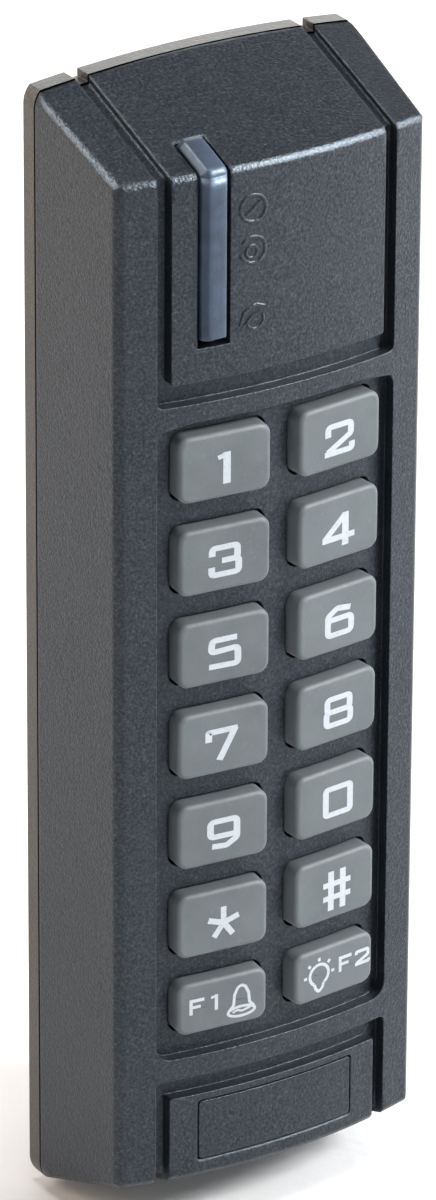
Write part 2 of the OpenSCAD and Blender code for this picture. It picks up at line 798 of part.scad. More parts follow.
module rear_cover() {
    color([0.15, 0.16, 0.17]) difference() {
        rear_plate(rear_back, rear_front, seal_w);
        for (x = [-1, 1], z = [-1, 1]) translate([x * rear_screw_x, 0, z * rear_screw_z])
            rotate([90, 0, 0]) cylinder(r = REAR_SCREW[2] + 0.2, h = far);
        translate([tamper_x, 0, tamper_z]) rotate([90, 0, 0]) cylinder(r = tamper_r + 0.2, h = far);
        translate([0, 0, terminal_z]) slab(0, far)
            square([terminal_w + 2 * fit_gap, terminal_h + 2 * fit_gap], center = true);
    }
}

module rear_seal() {
    color([0.25, 0.25, 0.26]) difference() {
        rear_plate(rear_back + 0.2, rear_front - 0.1, thread_gap);
        rear_plate(rear_back, rear_front, seal_w - thread_gap);
    }
}

module board_screws() {
    color([0.7, 0.7, 0.72]) for (x = [-1, 1], z = board_screw_z)
        translate([x * board_screw_x, -board_back, z]) rotate([-90, 0, 0]) pan_screw(BOARD_SCREW);
}

module rear_cover_screws() {
    color([0.7, 0.7, 0.72]) for (x = [-1, 1], z = [-1, 1])
        translate([x * rear_screw_x, -rear_back, z * rear_screw_z]) rotate([-90, 0, 0])
            pan_screw(REAR_SCREW);
}

module lock_screw() {
    color([0.7, 0.7, 0.72]) translate([0, -lock_depth, -lock_seat_z()]) rotate([180, 0, 0])
        pan_screw(LOCK_SCREW);
}

base_plate();
cable_grommet();
front_cover();
light_guide();
name_badge();
keypad_mat();
main_board();
antenna_coil();
status_leds();
backlight_leds();
microcontroller();
reader_chip();
line_driver();
crystal();
voltage_regulator();
smoothing_capacitor();
small_parts();
buzzer();
terminal_block();
terminal_screws();
tamper_switch();
tamper_plunger();
rear_cover();
rear_seal();
board_screws();
rear_cover_screws();
lock_screw();
for (i = [0 : len(KEY_NODES) - 1]) {
    key_body(floor(i / columns), i % columns);
    carbon_pill(floor(i / columns), i % columns);
}
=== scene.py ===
import math

import bpy
import bmesh
from mathutils import Matrix, Vector


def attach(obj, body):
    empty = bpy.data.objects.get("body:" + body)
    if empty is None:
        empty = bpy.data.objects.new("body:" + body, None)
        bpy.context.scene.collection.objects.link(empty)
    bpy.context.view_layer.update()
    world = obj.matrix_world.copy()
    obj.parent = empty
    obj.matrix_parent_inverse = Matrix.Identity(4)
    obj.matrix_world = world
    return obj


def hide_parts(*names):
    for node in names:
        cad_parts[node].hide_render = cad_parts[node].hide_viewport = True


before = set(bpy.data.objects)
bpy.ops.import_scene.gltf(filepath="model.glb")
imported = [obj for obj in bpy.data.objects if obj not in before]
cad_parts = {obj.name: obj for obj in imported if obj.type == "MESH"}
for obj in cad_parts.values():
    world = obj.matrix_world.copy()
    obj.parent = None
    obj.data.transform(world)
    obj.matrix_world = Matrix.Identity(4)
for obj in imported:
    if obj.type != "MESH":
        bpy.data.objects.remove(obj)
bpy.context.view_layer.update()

# Sizes in millimetres, the same as in the part's source
MM = 0.001
BODY_D = 23.0
CROWN_R = 86.0
CROWN_Y = CROWN_R - BODY_D
COLUMN_X = 8.35
FLOOR_Z = -0.0765
# The seam between base plate and cover, with a thin line of painted shade along it: its depth, the
# line's half width and its colour
SEAM_Y = 0.0026
SEAM_HALF = 0.00022
SEAM_SHADE_COLOR = (0.002, 0.002, 0.002, 1.0)
COLUMN_TURN = math.asin(COLUMN_X / CROWN_R)


# ---------------------------------------------------------------- materials

def new_material(name):
    mat = bpy.data.materials.new(name)
    mat.use_nodes = True
    nodes = mat.node_tree.nodes
    nodes.clear()
    out = nodes.new("ShaderNodeOutputMaterial")
    bsdf = nodes.new("ShaderNodeBsdfPrincipled")
    mat.node_tree.links.new(bsdf.outputs["BSDF"], out.inputs["Surface"])
    return mat, mat.node_tree, bsdf


def mix_color(tree, fac, a, b):
    """A colour mix node; fac, a and b are sockets or constants."""
    node = tree.nodes.new("ShaderNodeMix")
    node.data_type = "RGBA"
    for socket, value in ((node.inputs[0], fac), (node.inputs[6], a), (node.inputs[7], b)):
        if hasattr(value, "links"):
            tree.links.new(value, socket)
        else:
            socket.default_value = value
    return node.outputs[2]


def math_node(tree, op, a, b=0.0, clamp=False):
    node = tree.nodes.new("ShaderNodeMath")
    node.operation = op
    node.use_clamp = clamp
    for socket, value in ((node.inputs[0], a), (node.inputs[1], b)):
        if hasattr(value, "links"):
            tree.links.new(value, socket)
        else:
            socket.default_value = value
    return node.outputs[0]


def remap(tree, value, low, high, to_low, to_high):
    node = tree.nodes.new("ShaderNodeMapRange")
    tree.links.new(value, node.inputs["Value"])
    for key, v in (("From Min", low), ("From Max", high), ("To Min", to_low), ("To Max", to_high)):
        node.inputs[key].default_value = v
    return node.outputs["Result"]


def noise(tree, coords, scale, detail=3.0, roughness=0.55):
    node = tree.nodes.new("ShaderNodeTexNoise")
    node.inputs["Scale"].default_value = scale
    node.inputs["Detail"].default_value = detail
    node.inputs["Roughness"].default_value = roughness
    tree.links.new(coords, node.inputs["Vector"])
    return node.outputs["Fac"]


def object_coords(tree):
    return tree.nodes.new("ShaderNodeTexCoord").outputs["Object"]


def rounded_normal(tree, radius):
    node = tree.nodes.new("ShaderNodeBevel")
    node.samples = 6
    node.inputs["Radius"].default_value = radius
    return node.outputs["Normal"]


def edge_wear_and_highlight_mask(tree, radius, gain):
    """Bright on edges, for edge wear and a painted highlight along them: how far the rounded normal
    turns away from the true one.
    """
    rounded = rounded_normal(tree, radius)
    geo = tree.nodes.new("ShaderNodeNewGeometry")
    dot = tree.nodes.new("ShaderNodeVectorMath")
    dot.operation = "DOT_PRODUCT"
    tree.links.new(rounded, dot.inputs[0])
    tree.links.new(geo.outputs["Normal"], dot.inputs[1])
    off = math_node(tree, "SUBTRACT", 1.0, dot.outputs["Value"])
    return math_node(tree, "MULTIPLY", off, gain, clamp=True)


def bump(tree, bsdf, height, distance, strength=1.0, normal=None):
    node = tree.nodes.new("ShaderNodeBump")
    node.inputs["Distance"].default_value = distance
    node.inputs["Strength"].default_value = strength
    tree.links.new(height, node.inputs["Height"])
    if normal is not None:
        tree.links.new(normal, node.inputs["Normal"])
    tree.links.new(node.outputs["Normal"], bsdf.inputs["Normal"])


def mix_vector(tree, fac, a, b):
    node = tree.nodes.new("ShaderNodeMix")
    node.data_type = "VECTOR"
    tree.links.new(fac, node.inputs[0])
    tree.links.new(a, node.inputs[4])
    tree.links.new(b, node.inputs[5])
    return node.outputs[1]


# Where the rounder edges begin and are fully round, in metres from the middle
LONG_EDGE_X = (0.0203, 0.0209)
SLOPING_END_Z = (0.0655, 0.0662)


def outer_edge_mask(tree, coords):
    """Bright by the housing's long edges and on its sloping ends, which are rounder than the rest."""
    split = tree.nodes.new("ShaderNodeSeparateXYZ")
    tree.links.new(coords, split.inputs["Vector"])
    sides = remap(tree, math_node(tree, "ABSOLUTE", split.outputs["X"]),
                  *LONG_EDGE_X, 0.0, 1.0)
    ends = remap(tree, math_node(tree, "ABSOLUTE", split.outputs["Z"]),
                 *SLOPING_END_Z, 0.0, 1.0)
    return math_node(tree, "MAXIMUM", sides, ends)


def seam_shade_mask(tree, coords, seam_y, half):
    """Bright in a thin line round the seam between base plate and cover, where a line of painted shade
    goes.
    """
    split = tree.nodes.new("ShaderNodeSeparateXYZ")
    tree.links.new(coords, split.inputs["Vector"])
    off = math_node(tree, "ABSOLUTE", math_node(tree, "ADD", split.outputs["Y"], seam_y))
    return remap(tree, off, half * 0.5, half, 1.0, 0.0)


def grained_plastic(name, dark, light, grain_scale, grain_depth, rough, edge_radius,
                    edge_wear_and_highlight_color, edge_wear_and_highlight_gain, specular=0.5, big_radius=0.0, seam=0.0,
                    tint=(1.0, 1.0, 1.0, 1.0)):
    """Moulded plastic: spark-eroded grain with painted glint specks and painted shade in its hollows,
    cloudy colour, rounded edges lightened for wear and as a painted highlight, and an optional painted
    shade line along the seam.
    """
    mat, tree, bsdf = new_material(name)
    coords = object_coords(tree)
    cloud = noise(tree, coords, 60.0, 4.0)
    fine = noise(tree, coords, grain_scale, 2.0, 0.6)
    coarse = noise(tree, coords, grain_scale * 0.42, 2.0, 0.5)
    color = mix_color(tree, remap(tree, cloud, 0.35, 0.65, 0.0, 1.0), dark, light)
    # painted glints: the grain's high spots lightened, as if catching light
    painted_glint_specks = remap(tree, fine, 0.62, 0.74, 0.0, 0.4)
    color = mix_color(tree, painted_glint_specks, color, [min(1.0, c * 4.5) for c in light[:3]] + [1.0])
    # painted shade in the grain's hollows: darker where the coarse grain, which also lowers the bump, is
    # low
    painted_hollow_shade = remap(tree, coarse, 0.26, 0.42, 0.5, 0.0)
    color = mix_color(tree, painted_hollow_shade, color, [c * 0.45 for c in dark[:3]] + [1.0])
    # edges lightened for wear and as a painted highlight, in specks along the grain
    edge_wear_and_highlight = math_node(tree, "MULTIPLY", edge_wear_and_highlight_mask(tree, edge_radius, edge_wear_and_highlight_gain),
                     remap(tree, fine, 0.4, 0.62, 0.2, 1.0))
    color = mix_color(tree, edge_wear_and_highlight, color, edge_wear_and_highlight_color)
    shine = remap(tree, fine, 0.36, 0.66, specular * 0.6, specular * 1.35)
    # a thin line of painted shade along the seam, with less shine there
    if seam:
        seam_shade = seam_shade_mask(tree, coords, seam, SEAM_HALF)
        color = mix_color(tree, seam_shade, color, SEAM_SHADE_COLOR)
        shine = math_node(tree, "MULTIPLY", shine, math_node(tree, "SUBTRACT", 1.0, seam_shade))
    tree.links.new(color, bsdf.inputs["Base Color"])
    tree.links.new(remap(tree, fine, 0.3, 0.7, rough - 0.09, rough + 0.09),
                   bsdf.inputs["Roughness"])
    tree.links.new(shine, bsdf.inputs["Specular IOR Level"])
    bsdf.inputs["Specular Tint"].default_value = tint
    normal = rounded_normal(tree, edge_radius)
    if big_radius:
        normal = mix_vector(tree, outer_edge_mask(tree, coords), normal,
                            rounded_normal(tree, big_radius))
    height = math_node(tree, "ADD", fine, math_node(tree, "MULTIPLY", coarse, 0.4))
    bump(tree, bsdf, height, grain_depth, 1.0, normal)
    return mat


def rgb(r, g, b, a=1.0):
    """A colour given as sRGB numbers, 0 to 255."""
    def lin(v):
        v = v / 255.0
        return v / 12.92 if v <= 0.04045 else ((v + 0.055) / 1.055) ** 2.4
    return [lin(r), lin(g), lin(b), a]


# after grain scale, grain depth, roughness and edge radius come the edge colour and gain, which lighten
# edges for wear and as a painted highlight
housing_mat = grained_plastic("housing_plastic_look", rgb(24, 28, 33), rgb(30, 33, 38),
                              2800.0, 0.00009, 0.37, 0.0002, rgb(104, 111, 122), 0.8,
                              specular=0.39, big_radius=0.0007, seam=SEAM_Y,
                              tint=(0.74, 0.87, 1.0, 1.0))
base_mat = grained_plastic("base_plastic_look", rgb(46, 43, 40), rgb(56, 52, 48),
                           3000.0, 0.00008, 0.42, 0.0003, rgb(150, 148, 145), 1.2, seam=SEAM_Y)
rear_mat = grained_plastic("rear_plastic_look", rgb(34, 34, 36), rgb(42, 42, 44),
                           1700.0, 0.00005, 0.5, 0.0002, rgb(90, 90, 92), 0.7)
chip_mat = grained_plastic("chip_look", rgb(24, 24, 26), rgb(32, 32, 34),
                           3000.0, 0.00001, 0.55, 0.00008, rgb(80, 80, 84), 0.5)
terminal_mat = grained_plastic("terminal_look", rgb(20, 92, 52), rgb(28, 110, 62),
                               900.0, 0.00002, 0.42, 0.00012, rgb(120, 180, 140), 0.6)
white_mat = grained_plastic("white_plastic_look", rgb(214, 212, 202), rgb(228, 226, 218),
                            1200.0, 0.00001, 0.4, 0.0001, rgb(245, 245, 240), 0.5)
ceramic_mat = grained_plastic("ceramic_look", rgb(128, 104, 70), rgb(152, 124, 84),
                              2400.0, 0.00001, 0.5, 0.00006, rgb(200, 190, 170), 0.8)


def rubber(name, dark, light, rough, grain, depth, edge_radius, rubber_edge_wear_and_highlight_color):
    mat, tree, bsdf = new_material(name)
    coords = object_coords(tree)
    cloud = noise(tree, coords, 110.0, 4.0)
    fine = noise(tree, coords, grain, 3.0, 0.6)
    dust = noise(tree, coords, grain * 0.35, 5.0, 0.7)
    color = mix_color(tree, remap(tree, cloud, 0.35, 0.65, 0.0, 1.0), dark, light)
    color = mix_color(tree, remap(tree, dust, 0.6, 0.74, 0.0, 0.35), color,
                      [min(1.0, c * 1.5) for c in light[:3]] + [1.0])
    # edges lightened for wear and as a painted highlight
    color = mix_color(tree, edge_wear_and_highlight_mask(tree, edge_radius, 0.8), color, rubber_edge_wear_and_highlight_color)
    tree.links.new(color, bsdf.inputs["Base Color"])
    tree.links.new(remap(tree, fine, 0.3, 0.7, rough - 0.06, rough + 0.06),
                   bsdf.inputs["Roughness"])
    bsdf.inputs["Specular IOR Level"].default_value = 0.35
    bsdf.inputs["Sheen Weight"].default_value = 0.12
    bump(tree, bsdf, fine, depth, 1.0, rounded_normal(tree, edge_radius))
    return mat


# the last colour lightens the key edges for wear and as a painted highlight
key_mat = rubber("key_rubber_look", rgb(78, 85, 89), rgb(88, 95, 99), 0.62, 2400.0,
                 0.00003, 0.00015, rgb(150, 155, 156))
black_rubber_mat = rubber("black_rubber_look", rgb(26, 26, 27), rgb(33, 33, 34), 0.7, 1500.0,
                          0.00004, 0.0002, rgb(70, 70, 72))
carbon_mat = rubber("carbon_look", rgb(14, 14, 14), rgb(22, 22, 22), 0.8, 2600.0, 0.00002,
                    0.00008, rgb(40, 40, 40))


def metal(name, color, rough, scale, stretch):
    mat, tree, bsdf = new_material(name)
    coords = object_coords(tree)
    mapping = tree.nodes.new("ShaderNodeMapping")
    mapping.inputs["Scale"].default_value = stretch
    tree.links.new(coords, mapping.inputs["Vector"])
    streak = noise(tree, mapping.outputs["Vector"], scale, 4.0, 0.6)
    stain = noise(tree, coords, 220.0, 3.0)
    tint = mix_color(tree, remap(tree, stain, 0.4, 0.65, 0.0, 0.5), color,
                     [c * 0.7 for c in color[:3]] + [1.0])
    tree.links.new(tint, bsdf.inputs["Base Color"])
    bsdf.inputs["Metallic"].default_value = 1.0
    tree.links.new(remap(tree, streak, 0.3, 0.7, rough - 0.08, rough + 0.12),
                   bsdf.inputs["Roughness"])
    bump(tree, bsdf, streak, 0.00001, 0.6, rounded_normal(tree, 0.00012))
    return mat


steel_mat = metal("bright_metal_look", rgb(198, 198, 200), 0.3, 900.0, (1.0, 1.0, 6.0))
copper_mat = metal("copper_look", rgb(196, 116, 66), 0.34, 1400.0, (4.0, 1.0, 1.0))


def board_material():
    """Green solder mask over copper tracks."""
    mat, tree, bsdf = new_material("circuit_board_look")
    coords = object_coords(tree)
    wave = tree.nodes.new("ShaderNodeTexWave")
    wave.inputs["Scale"].default_value = 190.0
    wave.inputs["Distortion"].default_value = 5.0
    wave.inputs["Detail"].default_value = 1.0
    tree.links.new(coords, wave.inputs["Vector"])
    tracks = remap(tree, wave.outputs["Fac"], 0.62, 0.7, 0.0, 1.0)
    grain = noise(tree, coords, 1800.0, 2.0)
    color = mix_color(tree, tracks, rgb(16, 66, 38), rgb(30, 98, 56))
    tree.links.new(color, bsdf.inputs["Base Color"])
    tree.links.new(remap(tree, grain, 0.3, 0.7, 0.28, 0.42), bsdf.inputs["Roughness"])
    bump(tree, bsdf, math_node(tree, "ADD", tracks, math_node(tree, "MULTIPLY", grain, 0.2)),
         0.00003)
    return mat


def led_material():
    mat, tree, bsdf = new_material("led_look")
    coords = object_coords(tree)
    cloud = noise(tree, coords, 900.0, 3.0)
    tree.links.new(mix_color(tree, remap(tree, cloud, 0.4, 0.6, 0.0, 1.0), rgb(228, 226, 206),
                             rgb(240, 238, 224)), bsdf.inputs["Base Color"])
    bsdf.inputs["Roughness"].default_value = 0.3
    bsdf.inputs["Coat Weight"].default_value = 0.4
    bump(tree, bsdf, cloud, 0.00001, 0.5, rounded_normal(tree, 0.0001))
    return mat


def guide_material():
    """Frosted, bluish, translucent bar with a hazy skin."""
    mat, tree, bsdf = new_material("frosted_guide_look")
    coords = object_coords(tree)
    haze = noise(tree, coords, 260.0, 4.0, 0.6)
    frost = noise(tree, coords, 3200.0, 2.0, 0.6)
    color = mix_color(tree, remap(tree, haze, 0.35, 0.65, 0.0, 1.0), rgb(38, 48, 62),
                      rgb(54, 64, 82))
    # the bar's edges lightened as a painted highlight
    color = mix_color(tree, edge_wear_and_highlight_mask(tree, 0.0003, 1.0), color, rgb(120, 132, 150))
    tree.links.new(color, bsdf.inputs["Base Color"])
    tree.links.new(remap(tree, frost, 0.3, 0.7, 0.4, 0.56), bsdf.inputs["Roughness"])
    bsdf.inputs["Subsurface Weight"].default_value = 0.35
    bsdf.inputs["Subsurface Radius"].default_value = (0.9, 1.0, 1.2)
    bsdf.inputs["Subsurface Scale"].default_value = 0.0008
    bsdf.inputs["Specular Tint"].default_value = (0.62, 0.8, 1.0, 1.0)
    bsdf.inputs["Coat Weight"].default_value = 0.04
    bsdf.inputs["Coat Roughness"].default_value = 0.25
    bump(tree, bsdf, frost, 0.00003, 1.0, rounded_normal(tree, 0.0003))
    return mat


def legend_material():
    mat, tree, bsdf = new_material("legend_look")
    coords = object_coords(tree)
    fine = noise(tree, coords, 2600.0, 3.0, 0.65)
    patch = noise(tree, coords, 420.0, 3.0)
    color = mix_color(tree, remap(tree, fine, 0.52, 0.72, 0.0, 0.6), rgb(172, 180, 186),
                      rgb(144, 151, 156))
    color = mix_color(tree, remap(tree, patch, 0.55, 0.75, 0.0, 0.4), color, rgb(150, 158, 164))
    tree.links.new(color, bsdf.inputs["Base Color"])
    tree.links.new(remap(tree, patch, 0.3, 0.7, 0.5, 0.66), bsdf.inputs["Roughness"])
    bump(tree, bsdf, fine, 0.00001)
    return mat


board_mat = board_material()
led_mat = led_material()
guide_mat = guide_material()
legend_mat = legend_material()

NODE_LOOKS = {
    "base_plate": base_mat, "cable_grommet": black_rubber_mat, "front_cover": housing_mat,
    "light_guide": guide_mat, "name_badge": housing_mat, "keypad_mat": key_mat,
    "main_board": board_mat, "antenna_coil": copper_mat, "status_leds": led_mat,
    "backlight_leds": led_mat, "microcontroller": chip_mat, "reader_chip": chip_mat,
    "line_driver": chip_mat, "crystal": steel_mat, "voltage_regulator": chip_mat,
    "smoothing_capacitor": steel_mat, "small_parts": ceramic_mat, "buzzer": chip_mat,
    "terminal_block": terminal_mat, "terminal_screws": steel_mat, "tamper_switch": chip_mat,
    "tamper_plunger": white_mat, "rear_cover": rear_mat, "rear_seal": black_rubber_mat,
    "board_screws": steel_mat, "rear_cover_screws": steel_mat, "lock_screw": steel_mat,
}
for node_name, node_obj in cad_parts.items():
    look = NODE_LOOKS.get(node_name)
    if node_name.startswith("key_"):
        look = key_mat
    if node_name.startswith("carbon_pill_"):
        look = carbon_mat
    node_obj.data.materials.clear()
    node_obj.data.materials.append(look)


# ---------------------------------------------------------------- mesh helpers

def add_object(name, mesh, mat, body, smooth=True):
    obj = bpy.data.objects.new(name, mesh)
    bpy.context.scene.collection.objects.link(obj)
    mesh.materials.append(mat)
    for poly in mesh.polygons:
        poly.use_smooth = smooth
    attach(obj, body)
    return obj


def rounded_outline(width, height, radius, steps=7):
    """Points of a round-cornered rectangle, anticlockwise."""
    points = []
    for sx, sz, start in ((1, 1, 0), (-1, 1, 90), (-1, -1, 180), (1, -1, 270)):
        cx, cz = sx * (width / 2 - radius), sz * (height / 2 - radius)
        for i in range(steps):
            t = math.radians(start + 90 * i / (steps - 1))
            points.append((cx + radius * math.cos(t), cz + radius * math.sin(t)))
    return points


def loft(bm, rings, close_first=True, close_last=True):
    """Joins rings of points, each given in millimetres, with quads."""
    made = [[bm.verts.new(Vector(p) * MM) for p in ring] for ring in rings]
    for a, b in zip(made, made[1:]):
        count = len(a)
        for i in range(count):
            j = (i + 1) % count
            bm.faces.new((a[i], a[j], b[j], b[i]))
    if close_first:
        bm.faces.new(list(reversed(made[0])))
    if close_last:
        bm.faces.new(made[-1])
    return made


def round_corners(points, radius, closed, steps=5):
    """Replaces each inner corner of a polyline with an arc."""
    out = []
    count = len(points)
    for i, p in enumerate(points):
        if not closed and i in (0, count - 1):
            out.append(p)
            continue
        a, b = points[i - 1], points[(i + 1) % count]
        p, a, b = Vector(p), Vector(a), Vector(b)
        to_a, to_b = (a - p), (b - p)
        angle = to_a.angle(to_b)
        if angle < 0.05 or angle > 3.05:
            out.append(tuple(p))
            continue
        cut = min(radius / math.tan(angle / 2), to_a.length * 0.49, to_b.length * 0.49)
        start, end = p + to_a.normalized() * cut, p + to_b.normalized() * cut
        for k in range(steps + 1):
            t = k / steps
            out.append(tuple((1 - t) ** 2 * start + 2 * t * (1 - t) * p + t * t * end))
    return out


def ribbon(bm, points, width, closed, place, lift, stretch=1.0):
    """A flat stroke of even width along a polyline; x widths are stretched."""
    pts = [Vector((p[0] / stretch, p[1])) for p in points]
    count = len(pts)
    sides = []
    for i in range(count):
        if closed:
            before, after = pts[i] - pts[i - 1], pts[(i + 1) % count] - pts[i]
        else:
            before = pts[i] - pts[i - 1] if i else pts[1] - pts[0]
            after = pts[i + 1] - pts[i] if i < count - 1 else before
        n1 = Vector((-before.y, before.x)).normalized()
        n2 = Vector((-after.y, after.x)).normalized()
        miter = (n1 + n2).normalized()
        reach = width / 2 / max(0.5, miter.dot(n1))
        sides.append((pts[i] + miter * reach, pts[i] - miter * reach))
    verts = [[bm.verts.new(place(q.x * stretch, q.y, lift) * MM) for q in pair] for pair in sides]
    for i in range(count if closed else count - 1):
        a, b = verts[i], verts[(i + 1) % count]
        bm.faces.new((a[0], a[1], b[1], b[0]))


def finish_mesh(bm, name, recalc=True):
    if recalc:
        bmesh.ops.recalc_face_normals(bm, faces=bm.faces)
    mesh = bpy.data.meshes.new(name)
    bm.to_mesh(mesh)
    bm.free()
    return mesh


# ---------------------------------------------------------------- keys

KEY_NAMES = ["1", "2", "3", "4", "5", "6", "7", "8", "9", "0", "star", "hash", "f1", "f2"]
KEY_W, KEY_H, LOW_KEY_H, KEY_CORNER = 12.6, 8.8, 7.2, 1.5
KEY_PROUD, ROW_PITCH, FIRST_ROW_Z = 0.4, 12.52, 30.05
FLANGE_FRONT, FLANGE_T, FLANGE_OVER = 4.06, 1.05, 0.8
LEG_R, PILL_BACK = 3.0, 5.75
KEY_EDGE, KEY_DOME = 0.62, 0.1
# The face lies this far behind the CAD's, so that the legends stay inside its box
FACE_BACK = 0.012
FACE_INSETS = (3.4, 2.6, 1.8, 1.2, 0.8)


def key_place(column):
    """Turns key coordinates into the frame's: x across, y into the housing, z up."""
    turn = COLUMN_TURN * (-1 if column == 0 else 1)

    def place(x, y, z):
        ly = y - CROWN_R
        return Vector((x * math.cos(turn) - ly * math.sin(turn),
                       CROWN_Y + x * math.sin(turn) + ly * math.cos(turn), z))
    return place


def key_z(row):
    if row < 6:
        return FIRST_ROW_Z - row * ROW_PITCH
    return FIRST_ROW_Z - 6 * ROW_PITCH + (KEY_H - LOW_KEY_H) / 2


def face_height(x, z, height):
    """How far the domed face falls back from its middle."""
    return KEY_DOME * ((x / (KEY_W / 2)) ** 2 + (z / (height / 2)) ** 2) / 2


def build_key(name, row, column):
    place = key_place(column)
    height = KEY_H if row < 6 else LOW_KEY_H
    mid_z = key_z(row)
    bm = bmesh.new()

    def ring(inset, y, grow=0.0, domed=False):
        points = rounded_outline(KEY_W + 2 * grow - 2 * inset, height + 2 * grow - 2 * inset,
                                 max(KEY_CORNER + grow * 0.5 - inset * 0.75, 0.25))
        return [place(x, y + (face_height(x, z, height) if domed else 0.0), z + mid_z)
                for x, z in points]

    face_y = -KEY_PROUD + FACE_BACK
    rings = [ring(inset, face_y, domed=True) for inset in FACE_INSETS]
    for i in range(8):
        t = math.radians(90 * i / 7)
        rings.append(ring(KEY_EDGE * (1 - math.sin(t)),
                          face_y + KEY_DOME * 0.55 + KEY_EDGE * (1 - math.cos(t))))
    rings.append(ring(0.0, FLANGE_FRONT - 0.15))
    rings.append(ring(0.02, FLANGE_FRONT))
    rings.append(ring(0.06, FLANGE_FRONT, FLANGE_OVER))
    rings.append(ring(0.0, FLANGE_FRONT + 0.12, FLANGE_OVER))
    rings.append(ring(0.0, FLANGE_FRONT + FLANGE_T - 0.12, FLANGE_OVER))
    rings.append(ring(0.12, FLANGE_FRONT + FLANGE_T, FLANGE_OVER))
    made = loft(bm, rings, close_first=False, close_last=True)
    # the face's middle, closed with a fan
    middle = bm.verts.new(place(0, face_y, mid_z) * MM)
    inner = made[0]
    for i in range(len(inner)):
        bm.faces.new((middle, inner[(i + 1) % len(inner)], inner[i]))
    # leg behind the flange
    leg = []
    for r, y in ((LEG_R, FLANGE_FRONT + FLANGE_T - 0.05), (LEG_R, PILL_BACK - 0.15),
                 (LEG_R - 0.15, PILL_BACK)):
        leg.append([place(r * math.cos(a), y, mid_z + r * math.sin(a))
                    for a in [2 * math.pi * k / 32 for k in range(32)]])
    loft(bm, leg)
    node = "key_" + name
    obj = add_object(node + "_cap", finish_mesh(bm, node + "_cap"), key_mat,
                     node + "_body")
    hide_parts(node)
    return place, mid_z, height


# Strokes of each legend: (points, closed, corner radius, stroke width); millimetres
STROKE = 0.76
# Upright strokes are this much wider than level ones
WIDE = 1.22
